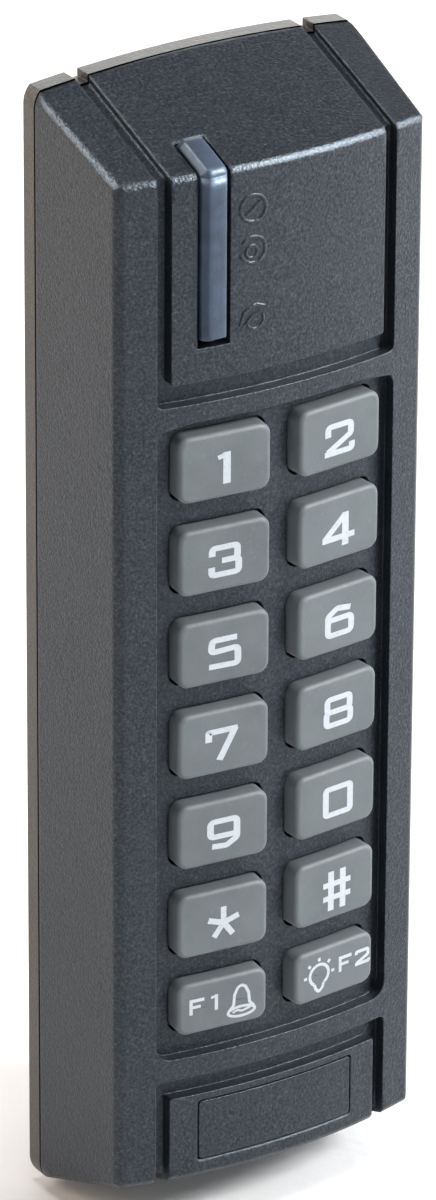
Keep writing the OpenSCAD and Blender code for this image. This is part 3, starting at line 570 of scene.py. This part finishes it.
# Half the height of most digits, to the stroke's middle
E = 1.8
LEGENDS = {
    "1": [([(0.22, 2.0), (0.22, -2.22)], False, 0, 0.84),
          ([(-1.0, 1.38), (0.0, 1.62)], False, 0, 0.6)],
    "2": [([(-1.85, 0.45), (-1.85, E), (1.72, E), (1.72, 0.3), (-1.9, -1.55)], False, 0.5, STROKE),
          ([(-2.35, -E), (1.9, -E), (1.9, -0.85)], False, 0.4, STROKE)],
    "3": [([(-1.8, 0.75), (-1.8, E), (1.68, E), (1.68, 0.02), (-0.45, 0.02)], False, 0.5, STROKE),
          ([(0.6, 0.02), (1.86, 0.02), (1.86, -E), (-1.86, -E), (-1.86, -0.7)], False, 0.5, STROKE)],
    "4": [([(-2.2, -0.8), (0.85, 1.86)], False, 0, 0.78),
          ([(-2.62, -0.98), (2.45, -0.98)], False, 0, 0.8),
          ([(0.98, 2.2), (0.98, -2.25)], False, 0, 0.84)],
    "5": [([(1.7, E), (-1.72, E), (-1.9, 0.22), (1.8, 0.42), (1.85, -E), (-2.15, -E + 0.1)],
           False, 0.55, STROKE)],
    "6": [([(-1.85, 0.3), (1.85, 0.3), (1.85, -E), (-1.85, -E)], True, 0.6, STROKE),
          ([(-1.85, -0.4), (-1.85, 0.9), (-0.4, 1.75), (1.7, 1.42)], False, 0.6, STROKE)],
    "7": [([(-2.05, 0.5), (-2.05, E), (1.95, E)], False, 0.12, STROKE),
          ([(1.66, 1.9), (-0.55, -2.2)], False, 0, STROKE)],
    "8": [([(-1.78, 0.02), (1.78, 0.02), (1.78, E), (-1.78, E)], True, 0.5, STROKE),
          ([(-1.9, 0.02), (1.9, 0.02), (1.9, -E), (-1.9, -E)], True, 0.55, STROKE)],
    "9": [([(1.85, -0.3), (-1.85, -0.3), (-1.85, E), (1.85, E)], True, 0.6, STROKE),
          ([(1.85, 0.4), (1.85, -0.9), (0.4, -1.75), (-1.6, -1.6)], False, 0.6, STROKE)],
    "0": [([(-1.95, -E), (1.95, -E), (1.95, E), (-1.95, E)], True, 0.4, STROKE)],
    "star": [([(0, -0.1), (2.25 * math.cos(a), 2.25 * math.sin(a) - 0.1)], False, 0, 0.78)
             for a in [math.radians(90 + 72 * k) for k in range(5)]],
    "hash": [([(x, 2.75), (x, -2.75)], False, 0, 0.76) for x in (-0.95, 0.95)]
            + [([(-2.2, z), (2.2, z)], False, 0, 0.76) for z in (0.95, -0.95)],
    "f1": [([(-4.45, 1.45), (-4.45, -0.75)], False, 0, 0.46),
           ([(-4.5, 1.2), (-2.6, 1.2)], False, 0, 0.46),
           ([(-4.3, 0.3), (-3.1, 0.3)], False, 0, 0.42),
           ([(-0.9, 1.45), (-0.9, -0.75)], False, 0, 0.46),
           ([(-1.65, 1.12), (-0.95, 1.22)], False, 0, 0.36),
           ([(0.85, -1.5), (1.55, -0.7), (1.65, 0.7), (2.1, 1.65), (2.65, 1.95),
             (3.2, 1.65), (3.65, 0.7), (3.8, -0.7), (4.45, -1.4)], False, 0.4, 0.4),
           ([(2.65 + 1.9 * math.cos(a), -1.75 + 0.68 * math.sin(a))
             for a in [math.radians(15 * k) for k in range(24)]], True, 0, 0.38),
           ([(1.4, -1.75), (2.1, -1.5), (2.7, -1.75), (3.9, -1.45)], False, 0.4, 0.3)],
    "f2": [([(0.95, 1.55), (0.95, -0.65)], False, 0, 0.46), ([(0.9, 1.3), (2.8, 1.3)], False, 0, 0.46),
           ([(1.1, 0.4), (2.3, 0.4)], False, 0, 0.42),
           ([(3.55, 0.9), (3.6, 1.3), (5.5, 1.3), (5.5, 0.5), (3.65, -0.3)], False, 0.25, 0.46),
           ([(3.4, -0.45), (5.65, -0.45), (5.65, -0.1)], False, 0.15, 0.46),
           ([(-2.45 + 1.5 * math.cos(a), 0.05 + 1.45 * math.sin(a))
             for a in [math.radians(-58 + 14.8 * k) for k in range(21)]], False, 0, 0.42),
           ([(-3.2, -1.2), (-3.0, -1.85), (-2.45, -2.4), (-1.9, -1.85), (-1.7, -1.2)], False, 0.3, 0.42)]
          + [([(-2.45 + 1.95 * math.cos(a), 0.05 + 1.9 * math.sin(a)),
               (-2.45 + 2.45 * math.cos(a), 0.05 + 2.4 * math.sin(a))], False, 0, 0.42)
             for a in [math.radians(v) for v in (0, 45, 90, 135, 180)]],
}
LEGEND_SHIFT = {"1": (-0.05, -0.25), "2": (-0.15, -0.35), "4": (-0.1, -0.3), "6": (0.15, -0.2),
                "8": (0.15, -0.15), "0": (0.25, -0.18), "hash": (0.25, -0.3), "star": (0.05, -0.2),
                "7": (-0.1, -0.25), "f1": (0.0, 0.0), "f2": (0.0, 0.0)}


def build_legend(name, place, mid_z, height):
    """White legend printed on the domed face; strokes lie a hair apart so none coincide."""
    shift_x, shift_z = LEGEND_SHIFT.get(name, (0.0, -0.25))
    bm = bmesh.new()
    for i, (points, closed, radius, width) in enumerate(LEGENDS[name]):
        if radius:
            points = round_corners(points, radius, closed)

        def on_face(x, z, lift):
            x, z = x + shift_x, z + shift_z
            y = -KEY_PROUD + FACE_BACK + face_height(x, z, height) - lift
            return place(x, y, z + mid_z)
        # more points along each stroke, so that it follows the dome
        dense = []
        pairs = list(zip(points, points[1:] + points[:1] if closed else points[1:]))
        for a, b in pairs:
            parts = max(1, int(math.hypot(b[0] - a[0], b[1] - a[1]) / 0.5))
            dense += [(a[0] + (b[0] - a[0]) * k / parts, a[1] + (b[1] - a[1]) * k / parts)
                      for k in range(parts)]
        if not closed:
            dense.append(points[-1])
        stretch = WIDE if name not in ("f1", "f2", "star") else 1.0
        ribbon(bm, dense, width, closed, on_face, 0.004 + 0.0008 * i, stretch)
    mesh = finish_mesh(bm, "legend_" + name, recalc=False)
    add_object("legend_" + name, mesh, legend_mat, "key_%s_body" % name)


for index, key_name in enumerate(KEY_NAMES):
    key_row, key_column = divmod(index, 2)
    key_frame = build_key(key_name, key_row, key_column)
    build_legend(key_name, *key_frame)


# ---------------------------------------------------------------- pictograms on the panel

def crown_point(x, z, lift):
    return Vector((x, CROWN_Y - math.sqrt(CROWN_R ** 2 - x * x) - lift, z))


# Section of a raised stroke: across it in widths, and up in lifts
RAISED_SECTION = ((0.5, -0.02), (0.36, 0.75), (0.18, 1.0), (-0.18, 1.0), (-0.36, 0.75), (-0.5, -0.02))
RAISED_LIFT = 0.16
PICTOGRAM_X = -4.6


def raised_stroke(bm, points, width, closed, lift):
    """A low raised stroke with sloping sides that follows the crown."""
    pts = [Vector(p) for p in points]
    count = len(pts)
    rows = []
    for i in range(count):
        if closed:
            run = pts[(i + 1) % count] - pts[i - 1]
        else:
            run = pts[min(i + 1, count - 1)] - pts[max(i - 1, 0)]
        n = Vector((-run.y, run.x)).normalized()
        row = []
        for off, h in RAISED_SECTION:
            q = pts[i] + n * width * off
            row.append(bm.verts.new(crown_point(q.x, q.y, lift * h) * MM))
        rows.append(row)
    for i in range(count if closed else count - 1):
        a, b = rows[i], rows[(i + 1) % count]
        for k in range(len(RAISED_SECTION) - 1):
            bm.faces.new((a[k], a[k + 1], b[k + 1], b[k]))


def arc(cx, cz, r, start, end, steps=18, squash=1.0):
    return [(cx + r * math.cos(math.radians(start + (end - start) * k / steps)),
             cz + r * squash * math.sin(math.radians(start + (end - start) * k / steps)))
            for k in range(steps + 1)]


def build_pictograms():
    x = PICTOGRAM_X
    bm = bmesh.new()
    # from the top: a ring with a bar across it, two open rings, and three curved strokes
    raised_stroke(bm, arc(x, 63.0, 1.75, 0, 345, 24), 0.5, True, RAISED_LIFT)
    raised_stroke(bm, [(x - 1.0, 62.2), (x, 63.0), (x + 1.0, 63.8)], 0.5, False, RAISED_LIFT)
    raised_stroke(bm, arc(x, 57.6, 1.7, -60, 150, 16), 0.5, False, RAISED_LIFT)
    raised_stroke(bm, arc(x - 0.2, 57.4, 0.8, 0, 330, 12), 0.42, True, RAISED_LIFT)
    raised_stroke(bm, arc(x, 57.6, 1.7, 190, 280, 8), 0.5, False, RAISED_LIFT)
    raised_stroke(bm, [(x - 1.7, 47.9), (x - 1.2, 49.6), (x + 0.6, 50.4), (x + 1.7, 49.9)],
                  0.5, False, RAISED_LIFT)
    raised_stroke(bm, [(x - 1.4, 47.6), (x - 0.2, 48.9), (x + 1.0, 49.4)], 0.42, False, RAISED_LIFT)
    raised_stroke(bm, arc(x + 0.3, 48.4, 1.2, -150, 30, 10), 0.42, False, RAISED_LIFT)
    bmesh.ops.recalc_face_normals(bm, faces=bm.faces)
    return add_object("panel_pictograms", finish_mesh(bm, "panel_pictograms", recalc=False),
                      housing_mat, "housing")


build_pictograms()


# ---------------------------------------------------------------- light guide

GUIDE_X, GUIDE_W, GUIDE_PROUD, GUIDE_LOW = -9.85, 3.6, 0.9, 47.05
GUIDE_FACE, RIDGE_Z, SLOPE, SLOPE_END = 22.434, 68.548, 0.375, 16.9
GUIDE_ROOT = -1.7
BEND = 0.3
LAMP_Z = (48.8, 54.6, 60.2)
# The flange's width, height, middle height, near and far depth and corner radius
GUIDE_FLANGE = (5.4, 16.4, 53.3, 17.35, 18.25, 0.5)
LEG_SIZE, LEG_NEAR, LEG_DEEP, LEG_CORNER = 2.4, 16.8, 17.5, 0.3


def build_light_guide():
    """A bar with chamfered sides that follows the panel, bends at the ridge and ends on the slope."""
    half, face_half = GUIDE_W / 2 - 0.02, 1.25
    side = [(half, GUIDE_ROOT), (half, -0.05), (half - 0.05, 0.06), (face_half + 0.08, 0.7),
            (face_half, 0.82), (face_half - 0.1, 0.88), (0.6, GUIDE_PROUD)]
    section = [(-x, h) for x, h in side] + [(0.0, GUIDE_PROUD)] + side[::-1]
    tilt = math.atan(SLOPE)
    top_normal = math.pi / 2 - tilt
    stops = [(GUIDE_FACE, GUIDE_LOW, 0.0, 0.62), (GUIDE_FACE, GUIDE_LOW + 0.08, 0.0, 0.86),
             (GUIDE_FACE, GUIDE_LOW + 0.25, 0.0, 0.97), (GUIDE_FACE, GUIDE_LOW + 0.5, 0.0, 1.0)]
    stops += [(GUIDE_FACE, GUIDE_LOW + 0.5 + (RIDGE_Z - BEND - GUIDE_LOW - 0.5) * k / 12, 0.0, 1.0)
              for k in range(1, 13)]
    for k in range(9):
        t = k / 8
        lean = top_normal * t
        depth = GUIDE_FACE - BEND * t * t
        stops.append((depth, RIDGE_Z - BEND * (1 - t) ** 2 + BEND * SLOPE * t * t, lean, 1.0))
    for k in range(1, 8):
        depth = GUIDE_FACE - BEND - (GUIDE_FACE - BEND - SLOPE_END) * k / 7
        scale = 1.0 if k < 7 else 0.93
        stops.append((depth, RIDGE_Z + SLOPE * (GUIDE_FACE - depth), top_normal, scale))
    bm = bmesh.new()
    rings = []
    for depth, z, lean, scale in stops:
        ring = []
        for x, h in section:
            h = h * scale if h > 0 else h
            ring.append(Vector((GUIDE_X + x, -depth - h * math.cos(lean), z + h * math.sin(lean))))
        rings.append(ring)
    loft(bm, rings)
    # flange behind the front wall and the three legs down to the lamps
    legs = [(LEG_SIZE, LEG_SIZE, z, LEG_NEAR, LEG_DEEP, LEG_CORNER) for z in LAMP_Z]
    for width, height, mid_z, near, deep, corner in [GUIDE_FLANGE] + legs:
        outline = rounded_outline(width, height, corner, 4)
        inner = rounded_outline(width - 0.2, height - 0.2, corner - 0.05, 4)
        loft(bm, [[(GUIDE_X + x, -deep, mid_z + z) for x, z in inner],
                  [(GUIDE_X + x, -deep + 0.1, mid_z + z) for x, z in outline],
                  [(GUIDE_X + x, -near - 0.1, mid_z + z) for x, z in outline],
                  [(GUIDE_X + x, -near, mid_z + z) for x, z in inner]])
    obj = add_object("light_guide_bar", finish_mesh(bm, "light_guide_bar"), guide_mat,
                     "housing")
    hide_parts("light_guide")


build_light_guide()


# ---------------------------------------------------------------- camera, light, floor

def look_at_matrix(azimuth, elevation, roll, distance, shift_x, shift_z):
    a, e, r = (math.radians(v) for v in (azimuth, elevation, roll))
    back = Vector((math.sin(a) * math.cos(e), -math.cos(a) * math.cos(e), math.sin(e)))
    right = Vector((0, 0, 1)).cross(back).normalized()
    up = back.cross(right)
    side = math.cos(r) * right + math.sin(r) * up
    top = -math.sin(r) * right + math.cos(r) * up
    place = (side * shift_x + top * shift_z + back * distance) * MM
    turn = Matrix((side, top, back)).transposed()
    return Matrix.Translation(place) @ turn.to_4x4()


camera_data = bpy.data.cameras.new("camera")
camera_data.sensor_fit = "AUTO"
camera_data.sensor_width = 36.0
camera_data.lens = 7937.1 / 1200.0 * 36.0
camera_data.clip_start = 0.05
camera_data.clip_end = 20.0
camera = bpy.data.objects.new("camera", camera_data)
bpy.context.scene.collection.objects.link(camera)
camera.matrix_world = look_at_matrix(-32.671, 25.469, 0.301, 1000.461, 4.48, 0.399)
bpy.context.scene.camera = camera


def floor_mesh():
    """A wide pale floor that curves up far behind the part."""
    bm = bmesh.new()
    profile = [(-1.6, 0.0)] + [(0.2 * i, 0.0) for i in range(-7, 6)]
    for i in range(1, 13):
        t = math.pi / 2 * i / 12
        profile.append((1.0 + 0.9 * math.sin(t), 0.9 * (1 - math.cos(t))))
    profile.append((1.9, 2.4))
    rows = []
    for y, z in profile:
        rows.append([bm.verts.new((x * 0.25, y, z + FLOOR_Z)) for x in range(-12, 13)])
    for a, b in zip(rows, rows[1:]):
        for i in range(len(a) - 1):
            bm.faces.new((a[i], a[i + 1], b[i + 1], b[i]))
    mesh = bpy.data.meshes.new("floor")
    bm.to_mesh(mesh)
    bm.free()
    for poly in mesh.polygons:
        poly.use_smooth = True
    obj = bpy.data.objects.new("floor", mesh)
    bpy.context.scene.collection.objects.link(obj)
    mat, tree, bsdf = new_material("floor_look")
    coords = object_coords(tree)
    cloud = noise(tree, coords, 3.0, 3.0)
    tree.links.new(mix_color(tree, cloud, (0.9, 0.9, 0.9, 1), (0.94, 0.94, 0.94, 1)),
                   bsdf.inputs["Base Color"])
    bsdf.inputs["Roughness"].default_value = 0.9
    bump(tree, bsdf, noise(tree, coords, 500.0, 2.0), 0.0001)
    mesh.materials.append(mat)
    return obj


floor_mesh()


def area_light(name, place, target, size, power, color=(1, 1, 1), glint=False):
    """A softbox; a glint is left out of diffuse light, so it mostly shows in reflections."""
    data = bpy.data.lights.new(name, "AREA")
    data.shape = "RECTANGLE"
    data.size, data.size_y = size
    data.energy = power
    data.color = color
    obj = bpy.data.objects.new(name, data)
    obj.visible_diffuse = not glint
    bpy.context.scene.collection.objects.link(obj)
    obj.location = place
    obj.rotation_euler = (Vector(target) - Vector(place)).to_track_quat("-Z", "Y").to_euler()
    return obj


def from_angles(azimuth, elevation, distance):
    a, e = math.radians(azimuth), math.radians(elevation)
    return (distance * math.sin(a) * math.cos(e), -distance * math.cos(a) * math.cos(e),
            distance * math.sin(e))


area_light("ridge_light", from_angles(42, 36, 1.1), (0, 0, 0.03), (0.3, 0.3), 13.0)
area_light("ridge_glint", from_angles(42, 36, 1.1), (0, 0, 0.03), (0.3, 0.3), 45.0, glint=True)
area_light("corner_glint", from_angles(-118, 41, 1.1), (0, 0, 0.03), (0.3, 0.3), 16.0,
           glint=True)
area_light("right_light", from_angles(84, 10, 1.0), (0, 0, 0), (0.5, 0.9), 9.0, (0.97, 0.98, 1.0))
area_light("left_light", from_angles(-118, 20, 1.0), (0, 0, 0), (0.5, 0.9), 6.6, (1.0, 0.76, 0.56))
area_light("rear_light", from_angles(152, 22, 1.0), (0, 0, 0.05), (0.6, 0.25), 3.2)
area_light("floor_light", (0.0, -0.2, 1.6), (0, 0, -0.08), (0.7, 0.7), 13.0)


def build_world():
    """Pale near the horizon and below it, darker overhead."""
    world = bpy.data.worlds.new("world")
    bpy.context.scene.world = world
    world.use_nodes = True
    tree = world.node_tree
    background = tree.nodes["Background"]
    coords = tree.nodes.new("ShaderNodeTexCoord")
    split = tree.nodes.new("ShaderNodeSeparateXYZ")
    tree.links.new(coords.outputs["Generated"], split.inputs["Vector"])
    tree.links.new(mix_color(tree, remap(tree, split.outputs["Z"], 0.2, 0.55, 0.0, 1.0),
                             (1.0, 1.0, 1.0, 1.0), (0.06, 0.07, 0.09, 1.0)),
                   background.inputs["Color"])
    background.inputs["Strength"].default_value = 0.8


build_world()
bpy.context.scene.view_settings.view_transform = "Standard"
